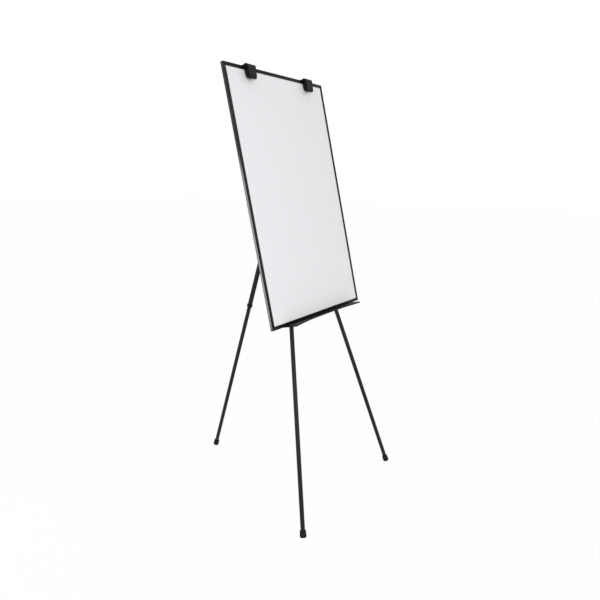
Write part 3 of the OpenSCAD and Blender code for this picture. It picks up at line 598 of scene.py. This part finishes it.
def layScrews(name, part, places, where):
    for count, (x, y, z) in enumerate(places):
        twin = duplicate(screwMasters[part], name + str(count + 1))
        spot = where @ Matrix.Translation((x, y, z)) @ Matrix.Rotation(firstTurn + count * nextTurn, 4, "Y")
        place(twin, spot, "board", "zinc_steel", part + "_screws")


pivotUp = 564
firstTurn, nextTurn = 0.4, 1.1    # radians that the cross recesses are turned by
screwPlaces = {
    "tray": {"x": (-180, 0, 180), "out": 10.5, "up": (3.4,)},
    "plate": {"x": (-59, 59), "out": 9.3, "up": (pivotUp - 41, pivotUp + 41)},
    "head": {"x": (-46.5, 46.5), "out": 13.3, "up": (pivotUp - 25, pivotUp + 25)},
    "keeper": {"x": (-17.1, 17.1), "out": 9.8, "side": 142.4, "up": (50.5,), "turn": 13.4},
}
for part, s in screwPlaces.items():
    for side in ((-1, 1) if "side" in s else (0,)):
        middle = board @ Matrix.Translation((side * s.get("side", 0), 0, s["up"][0] if side else 0))
        middle = middle @ Matrix.Rotation(math.radians(-side * s.get("turn", 0)), 4, "Y")
        spots = [(x, s["out"], 0 if side else up) for x in s["x"] for up in s["up"]]
        layScrews(part + "Screw" + ("", "Right", "Left")[side], part, spots, middle)
print("screws laid")


# Parts kept in the CAD's own shape, with their edges softened
def softCopy(node, name, body, width, segments=2):
    piece = duplicate(nodes[node], name)
    piece.parent = None
    piece.matrix_world = Matrix.Identity(4)
    edit(piece, "VERT")
    bpy.ops.mesh.select_all(action="SELECT")
    bpy.ops.mesh.remove_doubles(threshold=0.000002)
    bpy.ops.mesh.dissolve_limited(angle_limit=math.radians(1))
    soften(piece, width * 0.001, segments, 30)
    return place(piece, Matrix.Identity(4), body, slotOf[node], node)


# Turned pieces: a ring that is pulled along the axis and widened or narrowed, step by step
def turn(name, profile, sides=64):
    onlySelect(None)
    radius, z = profile[0]
    bpy.ops.mesh.primitive_circle_add(vertices=sides, radius=radius, location=(0, 0, z))
    piece = named(name)
    edit(piece, "EDGE")
    bpy.ops.mesh.select_all(action="SELECT")
    if profile[0] != profile[-1]:
        bpy.ops.mesh.edge_face_add()
    for wider, higher in profile[1:]:
        pickEdges(piece, lambda a, b: abs(a.z - z) + abs(b.z - z) < 1e-4 and abs(a.xy.length - radius) < 1e-3
                  and abs(b.xy.length - radius) < 1e-3)
        extrude((0, 0, higher - z))
        if abs(wider - radius) > 1e-6:
            bpy.ops.transform.resize(value=(wider / radius, wider / radius, 1), center_override=(0, 0, higher))
        radius, z = wider, higher
    if profile[0] != profile[-1]:
        bpy.ops.mesh.edge_face_add()
    bpy.ops.mesh.select_all(action="SELECT")
    bpy.ops.mesh.remove_doubles(threshold=0.001)
    bpy.ops.mesh.normals_make_consistent(inside=False)
    onlySelect(piece)
    return piece


# Legs: tubes, the collar on the upper tube's end and the rubber foot
tube = {"upper": 9.5, "lower": 8, "wall": 1, "upperTop": -26, "upperEnd": -559}
collar = {"radius": 11.5, "top": -550, "bottom": -561.5, "lowerBore": 8.06, "upperBore": 9.5, "groove": 0.5}


def makeTube(name, radius, wall, top, end):
    piece = addRod(name, radius, (0, 0, end), (0, 0, top), 96)
    edit(piece)
    pickFaces(piece, lambda at, n: abs(n.z) > 0.9)
    bpy.ops.mesh.inset(thickness=wall, use_individual=True)
    bpy.ops.mesh.bridge_edge_loops()
    onlySelect(piece)
    return soften(piece, 0.15, 2)


def makeCollar(name, c):
    middle = (c["top"] + c["bottom"]) / 2
    profile = [(c["upperBore"], c["top"]), (c["radius"] - 1, c["top"]), (c["radius"] - 0.3, c["top"] - 0.3),
               (c["radius"], c["top"] - 1)]
    for groove in (middle + 2, middle, middle - 2):
        profile += [(c["radius"], groove + 0.5), (c["radius"] - c["groove"], groove + 0.3),
                    (c["radius"] - c["groove"], groove - 0.3), (c["radius"], groove - 0.5)]
    profile += [(c["radius"], c["bottom"] + 1), (c["radius"] - 0.3, c["bottom"] + 0.3),
                (c["radius"] - 1, c["bottom"]), (c["lowerBore"], c["bottom"]),
                (c["lowerBore"], tube["upperEnd"]), (c["upperBore"], tube["upperEnd"]), (c["upperBore"], c["top"])]
    return turn(name, profile)


foot = {
    "wide": 12, "topWide": 10.2, "long": 24, "edge": 4.5, "bead": 1.2, "rubberBelow": 7.5,
    "tube": 8, "cutHalf": 40, "cutHigh": 80,
}


def footProfile(f):
    up = f["long"] - f["edge"]
    ring = f["wide"] - f["edge"]
    points = [(ring + f["edge"] * math.sin(a), -f["edge"] * math.cos(a))
              for a in (math.radians(9 * k) for k in range(11))]
    points += [(f["wide"], f["wide"] / 4), (f["wide"] - 0.1, 6), (f["wide"] - 0.25, 6.3), (f["wide"] - 0.3, 6.8)]
    points += [(f["topWide"] + f["bead"] * math.cos(a), up - f["bead"] + f["bead"] * math.sin(a))
               for a in (math.radians(20 * k - 70) for k in range(9))]
    return points + [(f["tube"], up), (f["tube"], f["rubberBelow"] - f["edge"])]


footMaster = turn("footMaster", footProfile(foot), 96)
for leg, where in legs.items():
    lowest = min((where.inverted() @ v.co).z for v in nodes[leg + "_lower_tube"].data.vertices)
    highest = max((where.inverted() @ v.co).z for v in nodes[leg + "_lower_tube"].data.vertices)
    label = "".join(word.capitalize() for word in leg.split("_"))
    upper = makeTube("upperTube" + label, tube["upper"], tube["wall"], tube["upperTop"], tube["upperEnd"])
    place(upper, where, leg + "_upper_leg", "black_tube", leg + "_upper_tube")
    lower = makeTube("lowerTube" + label, tube["lower"], tube["wall"], highest, lowest)
    place(lower, where, leg + "_lower_leg", "black_tube", leg + "_lower_tube")
    place(makeCollar("collar" + label, collar), where, leg + "_upper_leg", "black_moulding", leg + "_collar")
    rubber = duplicate(footMaster, "foot" + label)
    standing = mm.inverted() @ where @ Matrix.Translation((0, 0, lowest - foot["rubberBelow"] + foot["edge"]))
    rubber.data.transform(standing)
    x, y, z = standing.translation
    aboveFloor = addBlock("aboveFloor", (x - foot["cutHalf"], y - foot["cutHalf"], 0),
                          (x + foot["cutHalf"], y + foot["cutHalf"], foot["cutHigh"]))
    combine(rubber, aboveFloor, "INTERSECT")
    place(rubber, mm, leg + "_lower_leg", "black_rubber", leg + "_foot")
    softCopy(leg + "_leg_eye", "legEye" + label, leg + "_upper_leg", 0.6, 3)
bpy.data.objects.remove(footMaster)
print("legs modelled")


# Tripod head, its plate and its bolts, and the two leg keepers
softCopy("mounting_plate", "mountingPlate", "board", 0.3)
softCopy("tripod_head", "tripodHead", "board", 0.8, 3)
for side in ("left", "right"):
    softCopy("leg_keeper_" + side, "legKeeper" + side.capitalize(), "board", 0.5, 3)
bolt = {"radius": 3, "head": 5, "headHigh": 3.5, "nutRadius": 5.6, "nutHigh": 5, "washer": 6.2, "washerThick": 1,
        "out": 1.5}
pivots = {
    "frontLeftPivot": (head @ Matrix.Translation((-20, 0, 0)), -9.1, 10.1),
    "frontRightPivot": (head @ Matrix.Translation((20, 0, 0)), -9.1, 10.1),
    "rearPivot": (head @ Matrix.Translation((0, 24, -19)) @ Matrix.Rotation(math.radians(-90), 4, "Z"), -10.1, 10.1),
}
boltNode = {"frontLeftPivot": "front_pivot_bolts", "frontRightPivot": "front_pivot_bolts",
            "rearPivot": "rear_pivot_bolt"}


def makeBolt(name, start, end, b):
    piece = addRod(name, b["head"], (0, start - b["headHigh"], 0), (0, start, 0), 48)
    edit(piece)
    bevelEdges(piece, lambda p, q: p.y < start - 1 and q.y < start - 1, 2, 5)
    pickFaces(piece, lambda at, n: n.y > 0.9)
    bpy.ops.mesh.inset(thickness=b["head"] - b["radius"])
    extrude((0, end + b["washerThick"] + b["nutHigh"] + b["out"] - start, 0))
    onlySelect(piece)
    return soften(piece, 0.3, 2)


def makeNut(name, end, b):
    piece = addRod(name, b["nutRadius"], (0, end + b["washerThick"], 0),
                   (0, end + b["washerThick"] + b["nutHigh"], 0), 6)
    cone = addRod("cone", b["nutRadius"] * 1.02, (0, end, 0), (0, end + b["washerThick"] + b["nutHigh"], 0), 48)
    edit(cone)
    bevelEdges(cone, lambda p, q: p.y > end + 3 and q.y > end + 3, 0.9, 2)
    onlySelect(cone)
    combine(piece, cone, "INTERSECT")
    washer = addRod("washer", b["washer"], (0, end, 0), (0, end + b["washerThick"], 0), 48)
    combine(piece, washer, "UNION")
    return soften(piece, 0.15, 2)


for name, (where, start, end) in pivots.items():
    place(makeBolt(name + "Bolt", start, end, bolt), where, "board", "zinc_steel", boltNode[name])
    place(makeNut(name + "Nut", end, bolt), where, "board", "zinc_steel", boltNode[name].replace("bolt", "nut"))
print("tripod head dressed")


# Clips, each in a frame on the middle of the top rail's upper edge
clip = {
    "half": 19, "front": -23, "gap": -6, "long": 48, "round": 15, "wall": 2.6, "topRadius": 10.5,
    "topHalf": 23, "lowHalf": 17.5, "outlineTop": 4.6, "topCorner": 3.5, "lowCorner": 9, "pocketHalf": 13, "jawEdge": 1,
    "pocketLow": -43, "slotLong": 21, "holeReach": 25,
    "grooves": (-43, -40, -37), "grooveHalf": 11.5, "grooveDeep": 0.7,
    "pinBack": -12.5, "pinUp": -6.5, "pinRadius": 1.5, "pinHole": 1.56, "seatTop": -26.5, "slotTurn": 15,
    "padHalf": 12, "padLow": -39, "padHigh": -30, "padDeep": -9, "padFront": -0.3, "padNose": 4,
    "ribs": (-33.6, -32.4, -31.2), "ribDeep": 0.5,
    "knuckleHalf": 16.1, "knuckleRadius": 7.5, "springHalf": 4.39,
    "railFront": -1.7, "skirt": -4.2, "skirtLow": -15, "railBack": 8.7, "rearOut": 11.2, "gapUp": 0.2, "top": 3.8,
    "topStart": -9.5,
}


def makeOutline(c):
    piece = addBlock("outline", (-c["half"], c["front"] - 1, -c["long"]), (c["half"], 9, c["outlineTop"]))
    edit(piece)
    for high, half in ((1, c["topHalf"]), (-1, c["lowHalf"])):
        pickFaces(piece, lambda at, n: n.z * high > 0.9)
        bpy.ops.transform.resize(value=(half / c["half"], 1, 1), center_override=(0, 0, 0))
    for high, width in ((1, c["topCorner"]), (-1, c["lowCorner"])):
        bevelEdges(piece, lambda a, b: abs(a.y - b.y) > 1 and (a.z + 20) * high > 0, width, 10)
    onlySelect(piece)
    return piece


def makeJaw(name, c):
    inside = c["half"] - c["wall"]
    pin = (c["pinBack"], c["pinUp"])
    wide = c["topHalf"] + 2
    piece = addBlock(name, (-wide, c["front"], -c["long"]), (wide, c["gap"], c["pinUp"]))
    edit(piece)
    bevelEdges(piece, lambda a, b: a.y > c["gap"] - 0.01 and b.y > c["gap"] - 0.01 and a.z < 1 - c["long"]
               and b.z < 1 - c["long"], c["round"], 14)
    for z in c["grooves"]:
        for edge in (z - 0.7, z + 0.7):
            cutAcross((0, 0, edge), (0, 0, 1))
    for x in (-c["grooveHalf"], c["grooveHalf"]):
        cutAcross((x, 0, 0), (1, 0, 0))
    pickFaces(piece, lambda at, n: n.y < -0.9 and abs(at.x) < c["grooveHalf"]
              and any(abs(at.z - z) < 0.5 for z in c["grooves"]))
    extrude((0, c["grooveDeep"], 0))
    onlySelect(piece)
    combine(piece, addRod("top", c["topRadius"], (-wide, *pin), (wide, *pin), 96), "UNION")
    combine(piece, makeOutline(c), "INTERSECT")
    wallY = c["front"] + c["wall"]
    combine(piece, addRod("inside", c["topRadius"] - c["wall"], (-inside, *pin), (inside, *pin), 64))
    combine(piece, addBlock("inside", (-inside, wallY, c["seatTop"]), (inside, 2, c["pinUp"])))
    combine(piece, addBlock("inside", (-c["pocketHalf"], wallY, c["pocketLow"]),
                            (c["pocketHalf"], c["padDeep"] - 3, c["seatTop"] + 2.6)))
    for turned in (0, c["slotTurn"]):
        slot = addBlock("slot", (-inside, 0, 0), (inside, c["slotLong"], c["slotLong"]))
        slot.data.transform(Matrix.Translation((0, *pin)) @ Matrix.Rotation(math.radians(turned), 4, "X"))
        combine(piece, slot)
    combine(piece, addRod("pinHole", c["pinHole"], (-c["holeReach"], *pin), (c["holeReach"], *pin), 32))
    combine(piece, addBlock("padSeat", (-c["padHalf"], c["padDeep"], c["padLow"]), (c["padHalf"], -5, c["padHigh"])))
    return soften(piece, c["jawEdge"], 3)


def makePad(name, c):
    piece = addBlock(name, (-c["padHalf"], c["padDeep"], c["padLow"]), (c["padHalf"], c["padFront"], c["padHigh"]))
    edit(piece)
    bevelEdges(piece, lambda a, b: a.y > c["padFront"] - 0.01 and b.y > c["padFront"] - 0.01
               and (a.z + b.z) / 2 < c["padLow"] + 0.01, c["padNose"], 6)
    for z in c["ribs"]:
        for edge in (z - 0.4, z + 0.4):
            cutAcross((0, 0, edge), (0, 0, 1))
    pickFaces(piece, lambda at, n: n.y > 0.9 and any(abs(at.z - z) < 0.3 for z in c["ribs"]))
    extrude((0, -c["ribDeep"], 0))
    onlySelect(piece)
    return soften(piece, 0.2, 2)


def makeSaddle(name, c):
    pin = (c["pinBack"], c["pinUp"])
    piece = addBlock(name, (-c["half"], -0.4, c["gapUp"]), (c["half"], c["rearOut"], c["top"]))
    edit(piece)
    bevelEdges(piece, lambda a, b: a.y > c["rearOut"] - 0.01 and b.y > c["rearOut"] - 0.01 and a.z > c["top"] - 0.01
               and b.z > c["top"] - 0.01, 1.5, 4)
    cutAcross((0, c["railBack"], 0), (0, 1, 0))
    pickFaces(piece, lambda at, n: n.z < -0.9 and at.y > c["railBack"])
    extrude((0, 0, c["skirtLow"] - c["gapUp"]))
    onlySelect(piece)
    half = c["knuckleHalf"]
    combine(piece, addBlock("bridge", (-half, c["topStart"], c["gapUp"]), (half, 0.5, c["top"])), "UNION")
    combine(piece, addBlock("skirt", (-half, c["skirt"], c["skirtLow"]), (half, c["railFront"], c["top"])), "UNION")
    for side in (-1, 1):
        ends = sorted((side * c["springHalf"], side * half))
        knuckle = addRod("knuckle", c["knuckleRadius"], (ends[0], *pin), (ends[1], *pin), 64)
        cheek = addBlock("cheek", (ends[0], c["pinBack"], c["pinUp"] - c["knuckleRadius"]),
                         (ends[1], c["railFront"], c["pinUp"] + c["knuckleRadius"]))
        combine(piece, knuckle, "UNION")
        combine(piece, cheek, "UNION")
    combine(piece, addRod("pinHole", c["pinRadius"], (-c["holeReach"], *pin), (c["holeReach"], *pin), 32))
    return soften(piece, 0.4, 3)


def makePin(name, c):
    reach = c["half"] - 0.3
    piece = addRod(name, c["pinRadius"], (-reach, c["pinBack"], c["pinUp"]), (reach, c["pinBack"], c["pinUp"]), 32)
    edit(piece)
    bevelEdges(piece, lambda a, b: abs(a.x) > reach - 0.01 and abs(b.x) > reach - 0.01, 0.5, 3)
    onlySelect(piece)
    return piece


clipPieces = {
    "jaw": (makeJaw("jawMaster", clip), "jaw", "black_moulding"),
    "pad": (makePad("padMaster", clip), "jaw", "black_rubber"),
    "saddle": (makeSaddle("saddleMaster", clip), "slider", "black_moulding"),
    "pin": (makePin("pinMaster", clip), "slider", "zinc_steel"),
}
for part, (master, body, slot) in clipPieces.items():
    for side, where in clips.items():
        piece = duplicate(master, "clip" + side.capitalize() + part.capitalize())
        place(piece, where, "clip_" + side + "_" + body, slot, "clip_" + side + "_" + part)
    bpy.data.objects.remove(master)
for master in screwMasters.values():
    bpy.data.objects.remove(master)
print("clips modelled")


# Studio: white wherever the camera, a gloss or glass looks, and soft light on everything else. The floor's glow
# leaves 2 % of its own shading, so the object's shadow on it hardly shows
studio = {
    "floorSize": 40, "floorWhite": 0.6, "floorGlow": 0.98, "skyLight": 0.64,
    "key": {"place": (-2.3, -3.4, 1.6), "aim": (0, -0.1, 0.9), "size": (2.4, 2.0), "power": 79},
    "strip": {"place": (-1.28, 0.72, 0.74), "aim": (-0.3, -0.05, 0.75), "size": (0.42, 1.1), "power": 8},
}


def addSeenMask(tree):
    path = addNode(tree, "ShaderNodeLightPath")
    mask = path.outputs["Is Camera Ray"]
    for ray in ("Is Glossy Ray", "Is Transmission Ray"):
        either = addNode(tree, "ShaderNodeMath", operation="MAXIMUM")
        tree.links.new(mask, either.inputs[0])
        tree.links.new(path.outputs[ray], either.inputs[1])
        mask = either.outputs[0]
    return mask


def pickShader(tree, mask, unseen, seen, target):
    pick = addNode(tree, "ShaderNodeMixShader")
    tree.links.new(mask, pick.inputs["Fac"])
    tree.links.new(unseen, pick.inputs[1])
    tree.links.new(seen, pick.inputs[2])
    tree.links.new(pick.outputs[0], target)


def addFloor(s):
    onlySelect(None)
    bpy.ops.mesh.primitive_plane_add(size=s["floorSize"], location=(0, 0, 0))
    floor = bpy.context.object
    floor.name = "studioFloor"
    made = bpy.data.materials.new("studioFloor")
    made.use_nodes = True
    tree = made.node_tree
    tree.nodes.clear()
    out = addNode(tree, "ShaderNodeOutputMaterial")
    matt = addNode(tree, "ShaderNodeBsdfDiffuse")
    matt.inputs["Color"].default_value = (s["floorWhite"], s["floorWhite"], s["floorWhite"], 1)
    glow = addNode(tree, "ShaderNodeEmission")
    lifted = addNode(tree, "ShaderNodeMixShader")
    lifted.inputs["Fac"].default_value = s["floorGlow"]
    tree.links.new(matt.outputs[0], lifted.inputs[1])
    tree.links.new(glow.outputs[0], lifted.inputs[2])
    pickShader(tree, addSeenMask(tree), matt.outputs[0], lifted.outputs[0], out.inputs["Surface"])
    floor.data.materials.append(made)


def addSky(s):
    world = bpy.data.worlds.new("studio")
    bpy.context.scene.world = world
    world.use_nodes = True
    tree = world.node_tree
    light = tree.nodes["Background"]
    light.inputs["Color"].default_value = (1, 1, 1, 1)
    light.inputs["Strength"].default_value = s["skyLight"]
    white = addNode(tree, "ShaderNodeBackground")
    white.inputs["Color"].default_value = (1, 1, 1, 1)
    pickShader(tree, addSeenMask(tree), light.outputs[0], white.outputs[0],
               tree.nodes["World Output"].inputs["Surface"])


def addSoftbox(name, s):
    onlySelect(None)
    bpy.ops.object.light_add(type="AREA", location=s["place"])
    lamp = bpy.context.object
    lamp.name = name
    lamp.visible_camera = False
    lamp.data.shape = "RECTANGLE"
    lamp.data.size, lamp.data.size_y = s["size"]
    lamp.data.energy = s["power"]
    lamp.rotation_euler = (Vector(s["aim"]) - Vector(s["place"])).to_track_quat("-Z", "Y").to_euler()


addFloor(studio)
addSky(studio)
addSoftbox("keySoftbox", studio["key"])
addSoftbox("stripSoftbox", studio["strip"])
print("studio lit")

bpy.context.scene.view_settings.view_transform = "Standard"
